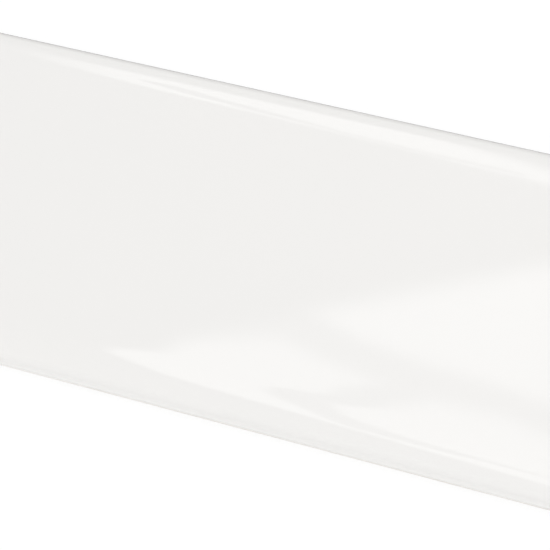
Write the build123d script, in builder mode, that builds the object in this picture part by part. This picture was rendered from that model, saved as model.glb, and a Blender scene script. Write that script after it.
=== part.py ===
from build123d import *
import math
import os

# A glazed ceramic wall tile: one pressed and fired piece, lying on its back with the face up.
#
# X runs along the tile, Y across it and Z up through its thickness. The origin is in the middle of
# the back. The face is flat in the middle and rolls down all round to a low shoulder, the cushion
# edge. The side is upright below the shoulder and leans in towards the back. The back has a grid of
# shallow keys, which the adhesive fills when the tile is laid.

# Overall size, in millimetres.
tile_length = 300.0
tile_width = 100.0
tile_thickness = 8.0

# The outline seen from above has small rounded corners.
corner_radius = 2.0

# The cushion edge: an arc that leaves the flat of the face without a kink and falls to the shoulder,
# where a rounder arris turns it into the side.
cushion_run = 9.0
cushion_drop = 1.8
arris_radius = 2.5

# The side leans in towards the back, so that the tile leaves its mould.
taper_height = 2.4
taper_inset = 0.5

# The keys in the back: shallow pockets with leaning walls and rounded corners, in rows between ribs.
key_length = 21.0
key_width = 19.0
key_depth = 0.7
key_corner_radius = 2.5
key_wall_angle = 30.0
key_rib = 3.0
key_border = 6.5

# How far the crossing outlines reach past the tile, so that they cut it cleanly.
overrun = 1.0

# What follows from the sizes above.
shoulder_height = tile_thickness - cushion_drop
key_pitch_x = key_length + key_rib
key_pitch_y = key_width + key_rib
key_columns = math.floor((tile_length - 2 * key_border + key_rib) / key_pitch_x)
key_rows = math.floor((tile_width - 2 * key_border + key_rib) / key_pitch_y)


def edge_outline(reach):
    """The section from a line at 0 out to the side at reach: face, cushion, arris, side and back."""
    face_start = min(0.0, reach - cushion_run - overrun)
    with BuildSketch() as outline:
        with BuildLine():
            face = Line((face_start, tile_thickness), (reach - cushion_run, tile_thickness))
            cushion = TangentArc(face @ 1, (reach, shoulder_height), tangent=(1, 0))
            Polyline(
                cushion @ 1,
                (reach, taper_height),
                (reach - taper_inset, 0),
                (face_start, 0),
                face @ 0,
            )
        make_face()
        shoulder = outline.vertices().sort_by_distance((reach, shoulder_height))[0]
        fillet(shoulder, arris_radius)
        split(bisect_by=Plane.YZ)
    return outline.sketch


def whole_outline(plane, span):
    """The section right across a span, from one side to the other, standing on a plane."""
    half = edge_outline(span / 2)
    with BuildSketch(plane) as outline:
        add(half)
        mirror(about=Plane.YZ)
    return outline.sketch


across_outline = whole_outline(Plane.YZ, tile_width)
along_outline = whole_outline(Plane.XZ, tile_length)
corner_outline = edge_outline(corner_radius)

with BuildPart() as tile:
    # The section across the tile runs its whole length, and the section along it trims the ends, so
    # that the cushion edges meet in a mitre.
    extrude(across_outline, amount=tile_length / 2 + overrun, both=True)
    extrude(along_outline, amount=tile_width / 2 + overrun, both=True, mode=Mode.INTERSECT)

    # Each sharp corner comes off as a small square, and the same edge is turned round in its place.
    with GridLocations(tile_length - corner_radius, tile_width - corner_radius, 2, 2):
        Box(
            corner_radius,
            corner_radius,
            tile_thickness,
            align=(Align.CENTER, Align.CENTER, Align.MIN),
            mode=Mode.SUBTRACT,
        )
    pivot_x = tile_length / 2 - corner_radius
    pivot_y = tile_width / 2 - corner_radius
    for turn, side_x, side_y in ((0, 1, 1), (90, -1, 1), (180, -1, -1), (270, 1, -1)):
        pivot = Vector(side_x * pivot_x, side_y * pivot_y, 0)
        outwards = Vector(1, 0, 0).rotate(Axis.Z, turn)
        upright = Plane(origin=pivot, x_dir=outwards, z_dir=outwards.cross(Vector(0, 0, 1)))
        with BuildSketch(upright):
            add(corner_outline)
        revolve(axis=Axis(pivot, (0, 0, 1)), revolution_arc=90)

    # The keys.
    with BuildSketch():
        with GridLocations(key_pitch_x, key_pitch_y, key_columns, key_rows):
            RectangleRounded(key_length, key_width, key_corner_radius)
    extrude(amount=key_depth, taper=key_wall_angle, mode=Mode.SUBTRACT)

tile.part.label = "tile"

os.makedirs("parts", exist_ok=True)
export_step(tile.part, "parts/tile.step")
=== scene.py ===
# %% [markdown]
# A glazed wall tile, made to be looked at closely.
#
# The tile is one pressed and fired piece: a flat face that rolls down to a low edge all round,
# upright sides with bare clay near the back, and a back with rows of shallow keys for the
# adhesive. What makes it look real is small: a mirror-smooth glaze that is never quite level, an
# edge whose curve has no kink, and the change from glaze to clay. Each of these gets a step of
# its own here.
#
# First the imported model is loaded. It is the frame that everything else is fitted to.

# %% Load the frame
import math
import bmesh
import bpy
from mathutils import Matrix, Vector


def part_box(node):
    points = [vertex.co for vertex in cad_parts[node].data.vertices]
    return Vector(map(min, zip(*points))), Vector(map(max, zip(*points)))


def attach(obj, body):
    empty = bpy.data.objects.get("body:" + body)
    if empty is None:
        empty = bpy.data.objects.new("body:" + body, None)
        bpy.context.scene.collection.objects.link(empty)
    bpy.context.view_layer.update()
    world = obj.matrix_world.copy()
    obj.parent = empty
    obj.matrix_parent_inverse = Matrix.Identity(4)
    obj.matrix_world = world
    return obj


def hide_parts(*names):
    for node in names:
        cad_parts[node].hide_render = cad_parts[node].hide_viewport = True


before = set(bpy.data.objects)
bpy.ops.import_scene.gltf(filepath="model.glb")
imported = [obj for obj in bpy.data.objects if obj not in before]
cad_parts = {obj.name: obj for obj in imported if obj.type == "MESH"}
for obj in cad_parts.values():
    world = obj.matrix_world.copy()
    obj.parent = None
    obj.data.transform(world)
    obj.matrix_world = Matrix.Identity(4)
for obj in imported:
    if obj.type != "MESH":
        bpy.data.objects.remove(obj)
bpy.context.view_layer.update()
mm = 0.001
tile_low, tile_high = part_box("tile")
tile_size = tile_high - tile_low
print("The tile measures", [round(side / mm, 2) for side in tile_size], "mm")

# %% [markdown]
# The camera comes before the modelling, because it says how much detail each part deserves. Two
# long edges that run together towards the left give away the angle: it looks down by 60 degrees,
# from a little to the right of square. A camera is placed by its distance and two angles from the
# point that it looks at, and its three axes are written straight into its matrix, so that no
# rounding creeps in from turning it step by step.

# %% Place the camera
camera_turn = math.radians(15.75)
camera_climb = math.radians(60)
camera_distance = 0.2851
camera_lens = 72.4
camera_target = Vector((0, -0.0096, tile_high.z))

towards_camera = Vector((
    math.sin(camera_turn) * math.cos(camera_climb),
    -math.cos(camera_turn) * math.cos(camera_climb),
    math.sin(camera_climb),
))
camera_right = Vector((math.cos(camera_turn), math.sin(camera_turn), 0))
camera_up = towards_camera.cross(camera_right)


def placed(origin, x_axis, y_axis, z_axis):
    """The matrix of an object that stands at origin with these three axes."""
    matrix = Matrix((x_axis, y_axis, z_axis)).transposed().to_4x4()
    matrix.translation = origin
    return matrix


camera_data = bpy.data.cameras.new("camera")
camera_data.lens = camera_lens
camera_data.clip_start = 0.01
camera = bpy.data.objects.new("camera", camera_data)
camera.matrix_world = placed(
    camera_target + towards_camera * camera_distance, camera_right, camera_up, towards_camera
)
bpy.context.scene.collection.objects.link(camera)
bpy.context.scene.camera = camera
print("The camera stands at", [round(value, 3) for value in camera.matrix_world.translation])

# %% [markdown]
# The edge of the tile is one section that runs all round. From the flat face it rolls down,
# slowly at first, then turns round a small arris into the side. The side is upright, and leans in
# near the back.
#
# The section is worked out before any mesh is made, as a list of insets and heights: how far
# inside the side a point lies, and how far above the back. The roll follows a power curve. A
# plain arc would start with a visible line where its curvature jumps, and glaze pulls that line
# smooth. Where the roll meets the arris, both have to slope alike. That place is found by taking
# a first guess and improving it a few times, which is quicker to read than the exact algebra.

# %% Work out the section of the edge
roll_run = 12 * mm
roll_drop = 1.8 * mm
roll_power = 2.6
arris_radius = 2.5 * mm
taper_height = 2.4 * mm
taper_inset = 0.5 * mm
roll_rings = 15
arris_rings = 10
side_rings = 3
guesses = 20


def roll_height(inset):
    """How high the rolled face is above the back, at some inset from the side."""
    return tile_size.z - roll_drop * ((roll_run - inset) / roll_run) ** roll_power


def roll_angle(inset):
    """How steeply the rolled face falls there."""
    share = (roll_run - inset) / roll_run
    return math.atan(roll_power * roll_drop / roll_run * share ** (roll_power - 1))


meeting_inset = arris_radius
for guess in range(guesses):
    meeting_inset = arris_radius * (1 - math.sin(roll_angle(meeting_inset)))
meeting_angle = roll_angle(meeting_inset)
arris_middle = roll_height(meeting_inset) - arris_radius * math.cos(meeting_angle)

roll_section = []
for ring in range(1, roll_rings + 1):
    inset = roll_run + (meeting_inset - roll_run) * ring / roll_rings
    roll_section.append((inset, roll_height(inset)))

edge_section = []
for ring in range(1, arris_rings + 1):
    angle = meeting_angle + (math.pi / 2 - meeting_angle) * ring / arris_rings
    inset = arris_radius * (1 - math.sin(angle))
    edge_section.append((inset, arris_middle + arris_radius * math.cos(angle)))
for ring in range(1, side_rings + 1):
    edge_section.append((0, arris_middle + (taper_height - arris_middle) * ring / side_rings))
for ring in range(1, side_rings + 1):
    share = ring / side_rings
    edge_section.append((taper_inset * share, taper_height * (1 - share)))
print("The roll meets the arris", round(meeting_inset / mm, 2), "mm inside the side")

# %% [markdown]
# Every step below selects something and then acts on it. In code the selecting is done by place:
# a test that says yes or no to the middle of each vertex, edge or face.

# %% A way to select by place
def middle_of(element):
    """Where a vertex is, or the middle of an edge or a face."""
    if isinstance(element, bmesh.types.BMVert):
        return element.co
    corners = [vertex.co for vertex in element.verts]
    return sum(corners, Vector()) / len(corners)


def select_where(piece, kind, wanted):
    """Selects, in edit mode, just the vertices, edges or faces whose middle passes the test."""
    bpy.ops.mesh.select_mode(type=kind)
    bpy.ops.mesh.select_all(action="DESELECT")
    mesh = bmesh.from_edit_mesh(piece.data)
    for element in {"VERT": mesh.verts, "EDGE": mesh.edges, "FACE": mesh.faces}[kind]:
        if wanted(middle_of(element)):
            element.select_set(True)
    mesh.select_flush_mode()
    bmesh.update_edit_mesh(piece.data)


def start_piece(name):
    """Names the newly added primitive, puts its place into its mesh and opens it to edit."""
    piece = bpy.context.object
    piece.name = name
    piece.data.name = name
    bpy.ops.object.transform_apply(location=True, rotation=True, scale=True)
    bpy.ops.object.mode_set(mode="EDIT")
    return piece


bpy.ops.object.select_all(action="DESELECT")

# %% [markdown]
# The flat of the face comes first. It could be a grid, but a grid's corners are sharp, and each
# ring added outside it would be sharp too. So it starts as a plane whose four corners are rounded
# with a vertex bevel. Its long and short sides are divided evenly, and Grid Fill covers the
# inside with even squares of about a millimetre. The glaze needs that many: reflections show a
# slope of a tenth of a degree, and a coarse mesh would turn it into facets.

# %% Model the flat of the face
flat_half_length = tile_size.x / 2 - roll_run
flat_half_width = tile_size.y / 2 - roll_run
flat_corner_radius = 1.7 * mm
corner_segments = 6
long_cuts = (13, 19)
short_cuts = (3, 19)
touch = 0.01 * mm

bpy.ops.mesh.primitive_plane_add(size=1, location=(0, 0, tile_high.z))
tile = start_piece("glazed_tile")
bpy.ops.transform.resize(value=(2 * flat_half_length, 2 * flat_half_width, 1))
bpy.ops.mesh.bevel(
    offset=flat_corner_radius, offset_type="OFFSET", segments=corner_segments, affect="VERTICES"
)
bpy.ops.mesh.select_all(action="SELECT")
bpy.ops.mesh.delete(type="ONLY_FACE")


def on_long_side(spot):
    past_corner = abs(spot.x) > flat_half_length - flat_corner_radius
    return abs(spot.y) > flat_half_width - touch and not past_corner


def on_short_side(spot):
    past_corner = abs(spot.y) > flat_half_width - flat_corner_radius
    return abs(spot.x) > flat_half_length - touch and not past_corner


for cuts, on_side in ((long_cuts, on_long_side), (short_cuts, on_short_side)):
    for count in cuts:
        select_where(tile, "EDGE", on_side)
        bpy.ops.mesh.subdivide(number_cuts=count)
long_steps = (long_cuts[0] + 1) * (long_cuts[1] + 1) + corner_segments
short_steps = (short_cuts[0] + 1) * (short_cuts[1] + 1) + corner_segments
print("The outline has", len(bmesh.from_edit_mesh(tile.data).verts), "points")

# %% [markdown]
# Grid Fill needs to know where its four corners are. It takes the active vertex as the first one
# and counts the given span to the next, so the middle of a rounded corner is made active.

# %% Fill the face with an even grid
mesh = bmesh.from_edit_mesh(tile.data)
bpy.ops.mesh.select_all(action="SELECT")
mesh.select_history.clear()
mesh.select_history.add(max(mesh.verts, key=lambda vertex: vertex.co.x + vertex.co.y))
bmesh.update_edit_mesh(tile.data)
bpy.ops.mesh.fill_grid(span=long_steps)
squares = len(bmesh.from_edit_mesh(tile.data).faces)
print("The face has", squares, "squares, where", long_steps * short_steps, "were meant")

# %% [markdown]
# The roll grows out of this face. Its outline is extruded again and again, and each new ring is
# sized and lowered to the next point of the section. The corners need no work of their own: all
# four sides move out together, so they meet in a mitre, and the rounded corner of the flat keeps
# it soft, as melted glaze does.

# %% Roll the edge down
def extrude_rings(half_length, half_width, inset, height, section):
    """Carries the selected outline from where it is through a section, one ring for each point."""
    for next_inset, next_height in section:
        bpy.ops.mesh.extrude_edges_indiv()
        bpy.ops.transform.resize(
            value=(
                (half_length - next_inset) / (half_length - inset),
                (half_width - next_inset) / (half_width - inset),
                1,
            ),
            center_override=(0, 0, 0),
        )
        bpy.ops.transform.translate(value=(0, 0, next_height - height))
        inset, height = next_inset, next_height


bpy.ops.mesh.select_mode(type="EDGE")
bpy.ops.mesh.select_all(action="SELECT")
bpy.ops.mesh.region_to_loop()
extrude_rings(tile_size.x / 2, tile_size.y / 2, roll_run, tile_size.z, roll_section)
print("The rolled face has", len(bmesh.from_edit_mesh(tile.data).faces), "squares")

# %% [markdown]
# Glaze is never level. It runs a little in the kiln and leaves swells less than a tenth of a
# millimetre high, which nobody would see but for the reflections that bend over them. A few of
# them are pushed up and down one by one, with proportional editing: what is selected moves, and
# its neighbours follow, less and less the further off they are.

# %% Push slow waves into the glaze
def distance_from_line(spot, start, end):
    """How far a point is, seen from above, from the straight line between two others."""
    spot, start, end = (Vector(point[:2]) for point in (spot, start, end))
    share = (spot - start).dot(end - start) / (end - start).length_squared
    return (start.lerp(end, min(max(share, 0), 1)) - spot).length


# Where each swell starts and ends, how far it reaches and how high it rises, in millimetres.
swells = (
    ((-125, -12), (-98, 6), 20, 0.05),
    ((-60, 14), (-20, 20), 22, -0.02),
    ((88, 18), (126, 4), 20, -0.06),
    ((100, -30), (134, -24), 14, 0.06),
    ((-134, 30), (-106, 36), 12, 0.06),
)
swell_grip = 0.8 * mm
for start, end, reach, rise in swells:
    start, end = Vector(start) * mm, Vector(end) * mm
    select_where(tile, "VERT", lambda spot: distance_from_line(spot, start, end) < swell_grip)
    bpy.ops.transform.translate(
        value=(0, 0, rise * mm),
        use_proportional_edit=True,
        proportional_edit_falloff="SMOOTH",
        proportional_size=reach * mm,
    )
heights = [vertex.co.z / mm for vertex in bmesh.from_edit_mesh(tile.data).verts]
print("The face now reaches up to", round(max(heights), 3), "mm")

# %% [markdown]
# Between the swells lies a finer ripple with no pattern. A Displace modifier adds it from a
# texture of soft clouds, and is applied at once, while there is no side or back that it could
# move.

# %% Ripple the glaze
ripple_height = 0.02 * mm
ripple_size = 30 * mm

bpy.ops.object.mode_set(mode="OBJECT")
ripple_clouds = bpy.data.textures.new("glaze_ripple", "CLOUDS")
ripple_clouds.noise_scale = ripple_size
ripple_clouds.noise_depth = 0
ripple = tile.modifiers.new("glaze_ripple", "DISPLACE")
ripple.texture = ripple_clouds
ripple.texture_coords = "LOCAL"
ripple.direction = "Z"
ripple.mid_level = 0.5
ripple.strength = ripple_height
bpy.ops.object.modifier_apply(modifier=ripple.name)
bpy.ops.object.mode_set(mode="EDIT")
print("The ripple is", round(ripple_height / mm, 3), "mm high")

# %% [markdown]
# The same rings go on round the arris, down the upright side and in along the taper. The waves
# ride down the side with them, and the last ring is pressed flat, because the tile lies on it.
# One big face closes the back.

# %% Turn the arris, the side and the back
bpy.ops.mesh.select_mode(type="EDGE")
bpy.ops.mesh.select_all(action="SELECT")
bpy.ops.mesh.region_to_loop()
extrude_rings(
    tile_size.x / 2, tile_size.y / 2, meeting_inset, roll_height(meeting_inset), edge_section
)
bpy.ops.transform.resize(value=(1, 1, 0), center_override=(0, 0, 0))
bpy.ops.mesh.edge_face_add()
bpy.ops.mesh.select_all(action="SELECT")
bpy.ops.mesh.normals_make_consistent(inside=False)
bpy.ops.object.mode_set(mode="OBJECT")
print("The blank has", len(tile.data.polygons), "faces")

# %% [markdown]
# The back is pressed with rows of keys, shallow pockets that the adhesive grips. They repeat
# exactly, so one cutter is modelled, two Array modifiers repeat it, and one Boolean takes all of
# them out. Its section is written like that of the edge: round over the mouth, straight along the
# leaning wall, and round into the floor.

# %% Work out the section of a key
key_half_length = 10.5 * mm
key_half_width = 9.5 * mm
key_depth = 0.7 * mm
key_corner_radius = 2.5 * mm
key_corner_segments = 6
key_wall_angle = math.radians(30)
key_mouth_radius = 0.25 * mm
key_floor_radius = 0.4 * mm
key_bend_steps = 3
key_start = (-0.30 * mm, -0.07 * mm)

bend = math.pi / 2 - key_wall_angle
mouth_middle = -key_mouth_radius * math.tan(bend / 2)
floor_middle = key_depth * math.tan(key_wall_angle) + key_floor_radius * math.tan(bend / 2)
key_section = []
for step in range(1, key_bend_steps + 1):
    angle = bend * step / key_bend_steps
    key_section.append((
        mouth_middle + key_mouth_radius * math.sin(angle),
        key_mouth_radius * (1 - math.cos(angle)),
    ))
for step in range(key_bend_steps + 1):
    angle = bend * (1 - step / key_bend_steps)
    key_section.append((
        floor_middle - key_floor_radius * math.sin(angle),
        key_depth - key_floor_radius * (1 - math.cos(angle)),
    ))
print("A key narrows by", round(floor_middle / mm, 2), "mm down to its floor")

# %% [markdown]
# The cutter is made as the tile's edge was. It starts as a plane with rounded corners, a little
# below the back and wider than the mouth, so that it cuts the back cleanly, and grows up through
# its section ring by ring. It stands at the first place of the grid before the arrays repeat it.

# %% Model the cutter for the keys
key_pitch_x = 24 * mm
key_pitch_y = 22 * mm
key_columns = 12
key_rows = 4

bpy.ops.object.select_all(action="DESELECT")
bpy.ops.mesh.primitive_plane_add(size=1, location=(0, 0, key_start[1]))
cutter = start_piece("key_cutter")
bpy.ops.transform.resize(
    value=(2 * (key_half_length - key_start[0]), 2 * (key_half_width - key_start[0]), 1)
)
bpy.ops.mesh.bevel(
    offset=key_corner_radius, offset_type="OFFSET", segments=key_corner_segments, affect="VERTICES"
)
bpy.ops.mesh.select_mode(type="EDGE")
bpy.ops.mesh.select_all(action="SELECT")
extrude_rings(key_half_length, key_half_width, key_start[0], key_start[1], key_section)
bpy.ops.mesh.edge_face_add()
bpy.ops.mesh.select_all(action="SELECT")
bpy.ops.mesh.normals_make_consistent(inside=False)
bpy.ops.transform.translate(
    value=(-key_pitch_x * (key_columns - 1) / 2, -key_pitch_y * (key_rows - 1) / 2, 0)
)
bpy.ops.object.mode_set(mode="OBJECT")
for count, step in ((key_columns, (key_pitch_x, 0, 0)), (key_rows, (0, key_pitch_y, 0))):
    row = cutter.modifiers.new("keys", "ARRAY")
    row.count = count
    row.use_relative_offset = False
    row.use_constant_offset = True
    row.constant_offset_displace = step
    bpy.ops.object.modifier_apply(modifier=row.name)
print("The cutter has", len(cutter.data.polygons), "faces")

# %% [markdown]
# After the cut the whole piece is shaded smooth, and the rims that lie on the plane of the back
# are marked sharp first. Without that, the ribs between the keys would look swollen, because
# their shading would be blended with that of the walls.

# %% Cut the keys and smooth the shading
sharpest_smooth_angle = math.radians(30)

keys = tile.modifiers.new("keys", "BOOLEAN")
keys.operation = "DIFFERENCE"
keys.solver = "EXACT"
keys.object = cutter
bpy.context.view_layer.objects.active = tile
bpy.ops.object.modifier_apply(modifier=keys.name)
bpy.data.objects.remove(cutter)
tile.select_set(True)
bpy.ops.object.mode_set(mode="EDIT")
select_where(tile, "EDGE", lambda spot: spot.z < touch)
bpy.ops.mesh.mark_sharp()
bpy.ops.object.mode_set(mode="OBJECT")
bpy.ops.object.shade_smooth_by_angle(angle=sharpest_smooth_angle)
triangles = sum(len(face.vertices) - 2 for face in tile.data.polygons)
print("The tile has", triangles, "triangles")

# %% [markdown]
# Shader maths is easier to read as a formula than as a web of nodes, so a small class wraps a
# socket and turns each sign into a Math node. Everything else is added by one method, which takes
# the kind of node, its settings, and what goes into its sockets.

# %% Write shader maths as formulas
class Shade:
    """One output of a node. Signs between two of these, or one and a number, add a Math node."""

    tree = None

    def __init__(self, socket):
        self.socket = socket

    @classmethod
    def node(cls, kind, settings, inputs, output=0):
        """Adds a node, sets it up, fills its sockets and hands back one of its outputs."""
        node = cls.tree.nodes.new(kind)
        for name, setting in settings.items():
            setattr(node, name, setting)
        for name, value in inputs.items():
            if isinstance(value, Shade):
                cls.tree.links.new(value.socket, node.inputs[name])
            else:
                node.inputs[name].default_value = value
        return None if output is None else cls(node.outputs[output])

    @classmethod
    def maths(cls, operation, first, second):
        return cls.node("ShaderNodeMath", {"operation": operation}, {0: first, 1: second})

    @classmethod
    def blend(cls, share, first, second):
        """The first colour where share is 0, the second where it is 1."""
        return cls.node("ShaderNodeMix", {"data_type": "RGBA"}, {0: share, 6: first, 7: second}, 2)

    @classmethod
    def ramp(cls, value, low, high, low_result=0.0, high_result=1.0):
        """Rises smoothly from one result to the other while the value goes from low to high."""
        inputs = {0: value, 1: low, 2: high, 3: low_result, 4: high_result}
        return cls.node("ShaderNodeMapRange", {"interpolation_type": "SMOOTHSTEP"}, inputs)

    def __add__(self, other):
        return self.maths("ADD", self, other)

    __radd__ = __add__

    def __mul__(self, other):
        return self.maths("MULTIPLY", self, other)

    __rmul__ = __mul__

    def __sub__(self, other):
        return self.maths("SUBTRACT", self, other)

    def __rsub__(self, other):
        return self.maths("SUBTRACT", other, self)

    def __truediv__(self, other):
        return self.maths("DIVIDE", self, other)


def noise(position, size, detail=2.0):
    """Cloudy values round a half, with patches about as large as size."""
    inputs = {"Vector": position, "Scale": 1 / size, "Detail": detail}
    return Shade.node("ShaderNodeTexNoise", {}, inputs)


print("Shader maths can be written with the signs + - * and /")

# %% [markdown]
# Two surfaces meet on this tile. The glaze is a coat of white glass: smooth, with only a breath
# of orange peel, and a little warmer or cooler from place to place. Below the glaze line the
# fired clay is bare, cream and matt, with a fine grain. The line itself wanders, because the
# glaze was wiped and then pulled up as it melted, and just above it the glaze lies thin and lets
# the clay through.
#
# First the places of the two are laid out as masks, numbers from 0 to 1 that are worked out from
# the position on the tile.

# %% Lay out where the glaze ends
ceramic = bpy.data.materials.new("glazed_ceramic")
ceramic.use_nodes = True
ceramic.node_tree.nodes.clear()
Shade.tree = ceramic.node_tree

glaze_line = 1.5 * mm
glaze_line_wander = 1.2 * mm
glaze_line_wander_size = 9 * mm
glaze_line_softness = 0.06 * mm
thin_glaze_height = 0.9 * mm

position = Shade.node("ShaderNodeTexCoord", {}, {}, "Object")
height = Shade.node("ShaderNodeSeparateXYZ", {}, {0: position}, "Z")
wander = noise(position, glaze_line_wander_size) - 0.5
above_line = height - glaze_line - wander * glaze_line_wander
glazed = Shade.ramp(above_line, -glaze_line_softness, glaze_line_softness)
thin_glaze = Shade.ramp(above_line, 0.0, thin_glaze_height, 1.0, 0.0)
print("The glaze ends about", round(glaze_line / mm, 1), "mm above the back")

# %% [markdown]
# The colours lie close together, because this clay is nearly as pale as the glaze. What tells the
# two apart is the gloss, so the same mask that blends the colours blends the roughness as well.

# %% Colour the glaze and the clay
glaze_white = (0.836, 0.825, 0.808, 1)
glaze_shade = (0.822, 0.814, 0.800, 1)
clay_cream = (0.84, 0.82, 0.785, 1)
clay_dark = (0.79, 0.765, 0.72, 1)
glaze_patch_size = 60 * mm
clay_patch_size = 14 * mm
clay_grain_size = 0.5 * mm
clay_showing_through = 0.25
grain_in_patches = 0.5
dark_clay_starts, dark_clay_full = 0.55, 1.0
clay_roughness = 0.78
glaze_roughness = 0.04

glaze_colour = Shade.blend(noise(position, glaze_patch_size), glaze_white, glaze_shade)
glaze_colour = Shade.blend(thin_glaze * clay_showing_through, glaze_colour, clay_cream)
grain = noise(position, clay_grain_size, detail=3.0)
clay_patches = noise(position, clay_patch_size) + grain * grain_in_patches
darkened = Shade.ramp(clay_patches, dark_clay_starts, dark_clay_full)
clay_colour = Shade.blend(darkened, clay_cream, clay_dark)
tile_colour = Shade.blend(glazed, clay_colour, glaze_colour)
tile_roughness = clay_roughness - glazed * (clay_roughness - glaze_roughness)
print("The glaze is as white as", glaze_white[:3])

# %% [markdown]
# Last comes what is too fine to model. On a glaze this smooth, half a thousandth of a millimetre
# of orange peel already stirs the reflections. The grain of the clay is a hundred times as high.
# Both are written as real heights, so the bump needs no other strength than 1.

# %% Give the surface its fine relief
orange_peel_size = 2.2 * mm
orange_peel_height = 0.0005 * mm
grain_height = 0.05 * mm
glaze_ior = 1.5

orange_peel = noise(position, orange_peel_size, detail=1.0) * orange_peel_height
relief = orange_peel * glazed + grain * grain_height * (1 - glazed)
bump = Shade.node("ShaderNodeBump", {}, {"Strength": 1.0, "Distance": 1.0, "Height": relief})
surface = Shade.node("ShaderNodeBsdfPrincipled", {}, {
    "Base Color": tile_colour,
    "Roughness": tile_roughness,
    "IOR": glaze_ior,
    "Normal": bump,
})
Shade.node("ShaderNodeOutputMaterial", {}, {"Surface": surface}, None)
tile.data.materials.clear()
tile.data.materials.append(ceramic)
print("The ceramic takes", len(ceramic.node_tree.nodes), "nodes")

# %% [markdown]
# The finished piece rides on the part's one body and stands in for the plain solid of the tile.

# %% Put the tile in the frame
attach(tile, "root")
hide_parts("tile")
print("The tile stands in for the solid")

# %% [markdown]
# The tile lies in a white room with no corners: a wide white floor under a white sky. What the
# camera sees, straight or in the glaze, is pure white. The light that the sky throws on the tile
# is a little lower overhead and behind, because the lamps add to it there, and higher in front,
# where they add little. Together they have to show a colour about as it is written.

# %% Paint the sky
sky_light = 0.845
sky_light_in_front = 1.26
sky_light_behind = 0.77
front_ends, front_starts = -1.0, -0.4
behind_starts, behind_ends = 0.3, 1.0


def seen(tree):
    """1 for rays that look at a surface, and 0 for those that gather light from it."""
    Shade.tree = tree
    kinds = ("Is Camera Ray", "Is Glossy Ray", "Is Transmission Ray")
    first, second, third = (Shade.node("ShaderNodeLightPath", {}, {}, kind) for kind in kinds)
    return Shade.maths("MINIMUM", first + second + third, 1.0)


def grey(level):
    return (level, level, level, 1)


sky = bpy.data.worlds.new("white_room")
sky.use_nodes = True
sky.node_tree.nodes.clear()
looked_at = seen(sky.node_tree)
way = Shade.node("ShaderNodeTexCoord", {}, {}, "Generated")
depth = Shade.node("ShaderNodeSeparateXYZ", {}, {0: way}, "Y")
behind = Shade.ramp(depth, behind_starts, behind_ends)
not_in_front = Shade.ramp(depth, front_ends, front_starts)
sky_colour = Shade.blend(behind, grey(sky_light), grey(sky_light_behind))
sky_colour = Shade.blend(not_in_front, grey(sky_light_in_front), sky_colour)
sky_colour = Shade.blend(looked_at, sky_colour, grey(1))
background = Shade.node("ShaderNodeBackground", {}, {"Color": sky_colour, "Strength": 1.0})
Shade.node("ShaderNodeOutputWorld", {}, {"Surface": background}, None)
bpy.context.scene.world = sky
print("The sky gives", sky_light, "of white overhead")

# %% [markdown]
# The floor has to look as white as the sky and still take the tile's shadow. Most of what the
# camera sees of it is a glow, and a little is paint, which is all that a shadow can darken. Past
# the shadow it turns into pure glow, so that no horizon shows.

# %% Paint the floor
floor_size = 4.0
floor_gap = 0.02 * mm
floor_glow = 0.82
floor_paint = 0.20
floor_bounce = 0.95
white_starts = 0.30
white_ends = 0.55

bpy.ops.object.select_all(action="DESELECT")
bpy.ops.mesh.primitive_plane_add(size=floor_size, location=(0, 0, -floor_gap))
floor = start_piece("floor")
bpy.ops.object.mode_set(mode="OBJECT")
floor_white = bpy.data.materials.new("floor_white")
floor_white.use_nodes = True
floor_white.node_tree.nodes.clear()
looked_at = seen(floor_white.node_tree)
position = Shade.node("ShaderNodeTexCoord", {}, {}, "Object")
reach = Shade.node("ShaderNodeVectorMath", {"operation": "LENGTH"}, {0: position}, "Value")
far_off = Shade.ramp(reach, white_starts, white_ends)
paint_seen = Shade.blend(far_off, grey(floor_paint), grey(0))
glow_seen = Shade.blend(far_off, grey(floor_glow), grey(1))
paint = Shade.node("ShaderNodeBsdfDiffuse", {}, {
    "Color": Shade.blend(looked_at, grey(floor_bounce), paint_seen),
})
glow = Shade.node("ShaderNodeEmission", {}, {
    "Color": Shade.blend(looked_at, grey(0), glow_seen), "Strength": 1.0,
})
both = Shade.node("ShaderNodeAddShader", {}, {0: paint, 1: glow})
Shade.node("ShaderNodeOutputMaterial", {}, {"Surface": both}, None)
floor.data.materials.append(floor_white)
print("The floor is", floor_size, "m wide")

# %% [markdown]
# White on white has no outline. Where the glaze turns away at the far side, it mirrors what is
# low behind the tile, so a strip of black card stands there, a little higher than the tile. The
# camera doesn't see it and it casts no shadow. The glaze shows it black, as a thin dark line
# along the far silhouette, and it keeps a little light from the tile's far side, for which it
# counts as grey.

# %% Stand a black card behind the tile
card_gap = 3 * mm
card_height = 9 * mm
card_grey = 0.55

bpy.ops.object.select_all(action="DESELECT")
bpy.ops.mesh.primitive_plane_add(
    size=1, location=(0, tile_high.y + card_gap, card_height / 2), rotation=(math.pi / 2, 0, 0)
)
card = start_piece("black_card")
bpy.ops.transform.resize(
    value=(tile_size.x, 1, card_height), center_override=(0, 0, card_height / 2)
)
bpy.ops.object.mode_set(mode="OBJECT")
card_black = bpy.data.materials.new("card_black")
card_black.use_nodes = True
card_black.node_tree.nodes.clear()
looked_at = seen(card_black.node_tree)
velvet = Shade.node("ShaderNodeEmission", {}, {
    "Color": Shade.blend(looked_at, grey(card_grey), grey(0)), "Strength": 1.0,
})
Shade.node("ShaderNodeOutputMaterial", {}, {"Surface": velvet}, None)
card.data.materials.append(card_black)
card.visible_camera = False
card.visible_shadow = False
print("The card is", card_height / mm, "mm high")

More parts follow.
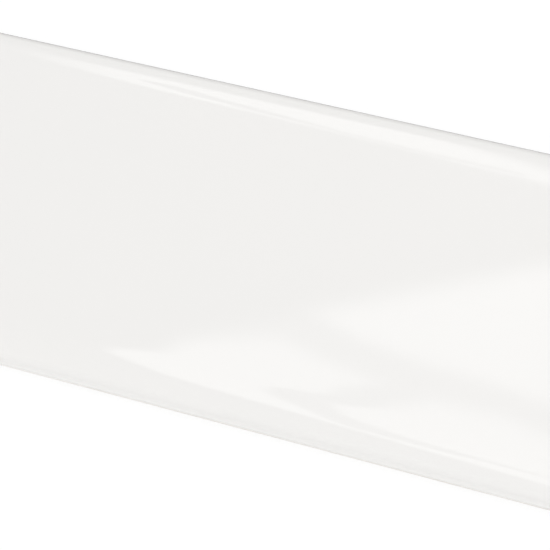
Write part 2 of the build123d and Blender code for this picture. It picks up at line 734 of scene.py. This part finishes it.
# %% [markdown]
# The glaze shows its lamps as shapes, so their place and outline say more about the photo than
# their strength. Each is a softbox, a lamp behind white cloth. A softbox is described on its own
# cloth, in metres to the right and up from its middle: rims, over which the light fades out, and
# the folds of the cloth, which are darker. It is placed by the direction in which it hangs, and
# faces the tile.

# %% Describe the cloth of a softbox
def inside_rim(across, upwards, rim):
    """1 on the cloth to the right of a rim, seen along it, fading to 0 past it."""
    start, end, softness = Vector(rim[0]), Vector(rim[1]), rim[2]
    along = (end - start).normalized()
    beyond = across * along.y - upwards * along.x - (start.x * along.y - start.y * along.x)
    return Shade.ramp(beyond, -softness / 2, softness / 2)


def clear_of_fold(across, upwards, fold, softness):
    """0 on a fold and 1 beside it. Each of its points has a place and a half width."""
    clear = None
    for (start, thin), (end, thick) in zip(fold, fold[1:]):
        start, end = Vector(start), Vector(end)
        way = end - start
        share = (across - start.x) * way.x + (upwards - start.y) * way.y
        share = Shade.maths("MAXIMUM", share / way.length_squared, 0.0)
        share = Shade.maths("MINIMUM", share, 1.0)
        off_x = across - start.x - share * way.x
        off_y = upwards - start.y - share * way.y
        distance = Shade.maths("POWER", off_x * off_x + off_y * off_y, 0.5)
        beside = Shade.ramp(distance - thin - share * (thick - thin), -softness / 2, softness / 2)
        clear = beside if clear is None else Shade.maths("MINIMUM", clear, beside)
    return clear


print("A softbox has rims and folds")

# %% [markdown]
# An area lamp carries the cloth. Its shader asks where on the lamp a point lies, measures that to
# the right and up from the middle of the cloth, and dims it by the rims and the folds. The power
# grows with the area, so that a larger cloth is just as bright.

# %% Hang a softbox
softbox_distance = 1.3


def direction(climb, swing):
    """The way to a lamp: climb is its angle above the far horizon, swing turns it to the right."""
    return Vector((
        math.sin(swing), math.cos(swing) * math.cos(climb), math.cos(swing) * math.sin(climb)
    ))


def hang_softbox(
    name, place, cloth, rims, folds, fold_softness, fold_depth, strength, lights_all=True
):
    """Hangs a softbox at its climb, swing and twist, with the four ends of its cloth."""
    climb, swing, twist = (math.radians(angle) for angle in place)
    backwards = direction(climb, swing)
    up = Vector((0, -backwards.z, backwards.y)).normalized()
    right = backwards.cross(up)
    cos, sin = math.cos(twist), math.sin(twist)
    right, up = right * cos + up * sin, up * cos - right * sin
    left_end, right_end, low_end, high_end = cloth
    lamp_data = bpy.data.lights.new(name, "AREA")
    lamp_data.shape = "RECTANGLE"
    lamp_data.size = right_end - left_end
    lamp_data.size_y = high_end - low_end
    lamp_data.energy = strength * math.pi * lamp_data.size * lamp_data.size_y
    lamp_data.use_nodes = True
    lamp_data.node_tree.nodes.clear()
    Shade.tree = lamp_data.node_tree
    origin = backwards * softbox_distance + Vector((0, 0, tile_high.z))
    spot = Shade.node("ShaderNodeNewGeometry", {}, {}, "Position")
    vector = "ShaderNodeVectorMath"
    spot = Shade.node(vector, {"operation": "SUBTRACT"}, {0: spot, 1: origin})
    across, upwards = (
        Shade.node(vector, {"operation": "DOT_PRODUCT"}, {0: spot, 1: axis}, "Value")
        for axis in (right, up)
    )
    lit = None
    for rim in rims:
        inside = inside_rim(across, upwards, rim)
        lit = inside if lit is None else lit * inside
    clear = None
    for fold in folds:
        beside = clear_of_fold(across, upwards, fold, fold_softness)
        clear = beside if clear is None else Shade.maths("MINIMUM", clear, beside)
    lit = lit * (1 - (1 - clear) * fold_depth)
    glow = Shade.node("ShaderNodeEmission", {}, {
        "Color": Shade.blend(lit, grey(0), grey(1)), "Strength": 1.0,
    })
    Shade.node("ShaderNodeOutputLight", {}, {"Surface": glow}, None)
    lamp = bpy.data.objects.new(name, lamp_data)
    middle = origin + right * (left_end + right_end) / 2 + up * (low_end + high_end) / 2
    lamp.matrix_world = placed(middle, -right, up, backwards)
    lamp.visible_camera = False
    lamp.visible_diffuse = lights_all
    bpy.context.scene.collection.objects.link(lamp)


print("Softboxes hang", softbox_distance, "m from the tile")

# %% [markdown]
# Two of them make the picture. The main one hangs nearly overhead and lies askew. Its cloth isn't
# stretched well, and three folds run as darker bands through the highlight. The other is a long
# strip low behind the tile, with one fold, and lights the far roll. It shines on the glaze alone:
# the white under it gets its light from the sky and the main lamp.
#
# The places of the rims and folds come from the photo. The rolled edge is a curved mirror, so each
# spot on it shows one spot of the cloth. Following that reflection from the camera to the lamp
# says about where a fold lies, and its place and width were then matched to the photo.

# %% Hang the two softboxes
hang_softbox(
    "main_softbox",
    place=(71, 6.25, -28.4),
    cloth=(-0.64, 0.58, -0.35, 0.74),
    rims=(
        ((-0.545, -0.350), (-0.545, 0.050), 0.06),
        ((-0.580, 0.015), (-0.190, 0.515), 0.08),
        ((-0.300, 0.680), (0.600, 0.680), 0.10),
        ((0.520, 0.600), (0.520, -0.300), 0.10),
        ((0.600, -0.233), (-0.600, -0.321), 0.045),
        ((-0.342, -0.300), (-0.480, -0.244), 0.045),
        ((-0.480, -0.244), (-0.540, -0.164), 0.045),
    ),
    folds=(
        (
            ((-0.300, -0.330), 0.042), ((-0.185, -0.287), 0.030), ((-0.098, -0.210), 0.025),
            ((0.000, -0.140), 0.024), ((0.094, -0.087), 0.020), ((0.143, -0.048), 0.020),
            ((0.320, 0.080), 0.020),
        ),
        (
            ((0.000, -0.134), 0.018), ((-0.068, -0.141), 0.019), ((-0.125, -0.136), 0.030),
            ((-0.200, -0.110), 0.040),
        ),
        (
            ((-0.215, -0.110), 0.044), ((-0.250, -0.050), 0.056), ((-0.277, 0.030), 0.050),
            ((-0.275, 0.110), 0.048), ((-0.280, 0.220), 0.064), ((-0.219, 0.283), 0.055),
            ((-0.180, 0.311), 0.045), ((-0.137, 0.333), 0.026), ((0.000, 0.420), 0.014),
        ),
    ),
    fold_softness=0.028,
    fold_depth=0.72,
    strength=1.6,
)
hang_softbox(
    "rear_softbox",
    place=(43.5, -5, 0),
    cloth=(-0.75, 0.75, -0.33, 0.22),
    rims=(
        ((-0.508, -0.030), (-0.315, 0.115), 0.05),
        ((-0.315, 0.115), (0.083, 0.185), 0.03),
        ((0.083, 0.188), (0.237, 0.194), 0.006),
        ((0.260, -0.060), (0.170, -0.230), 0.20),
        ((0.100, -0.225), (-0.508, -0.170), 0.09),
        ((-0.430, -0.300), (-0.430, 0.300), 0.30),
    ),
    folds=(
        (
            ((-0.275, -0.015), 0.040), ((-0.218, 0.042), 0.038), ((-0.119, 0.094), 0.028),
            ((-0.069, 0.112), 0.020), ((-0.019, 0.138), 0.014), ((0.083, 0.162), 0.014),
            ((0.237, 0.165), 0.014),
        ),
    ),
    fold_softness=0.020,
    fold_depth=0.85,
    strength=1.5,
    lights_all=False,
)
print("Two softboxes hang over the tile")

# %% [markdown]
# Last, the picture is developed without a film curve, so that white stays white.

# %% Finish
bpy.context.scene.view_settings.view_transform = "Standard"
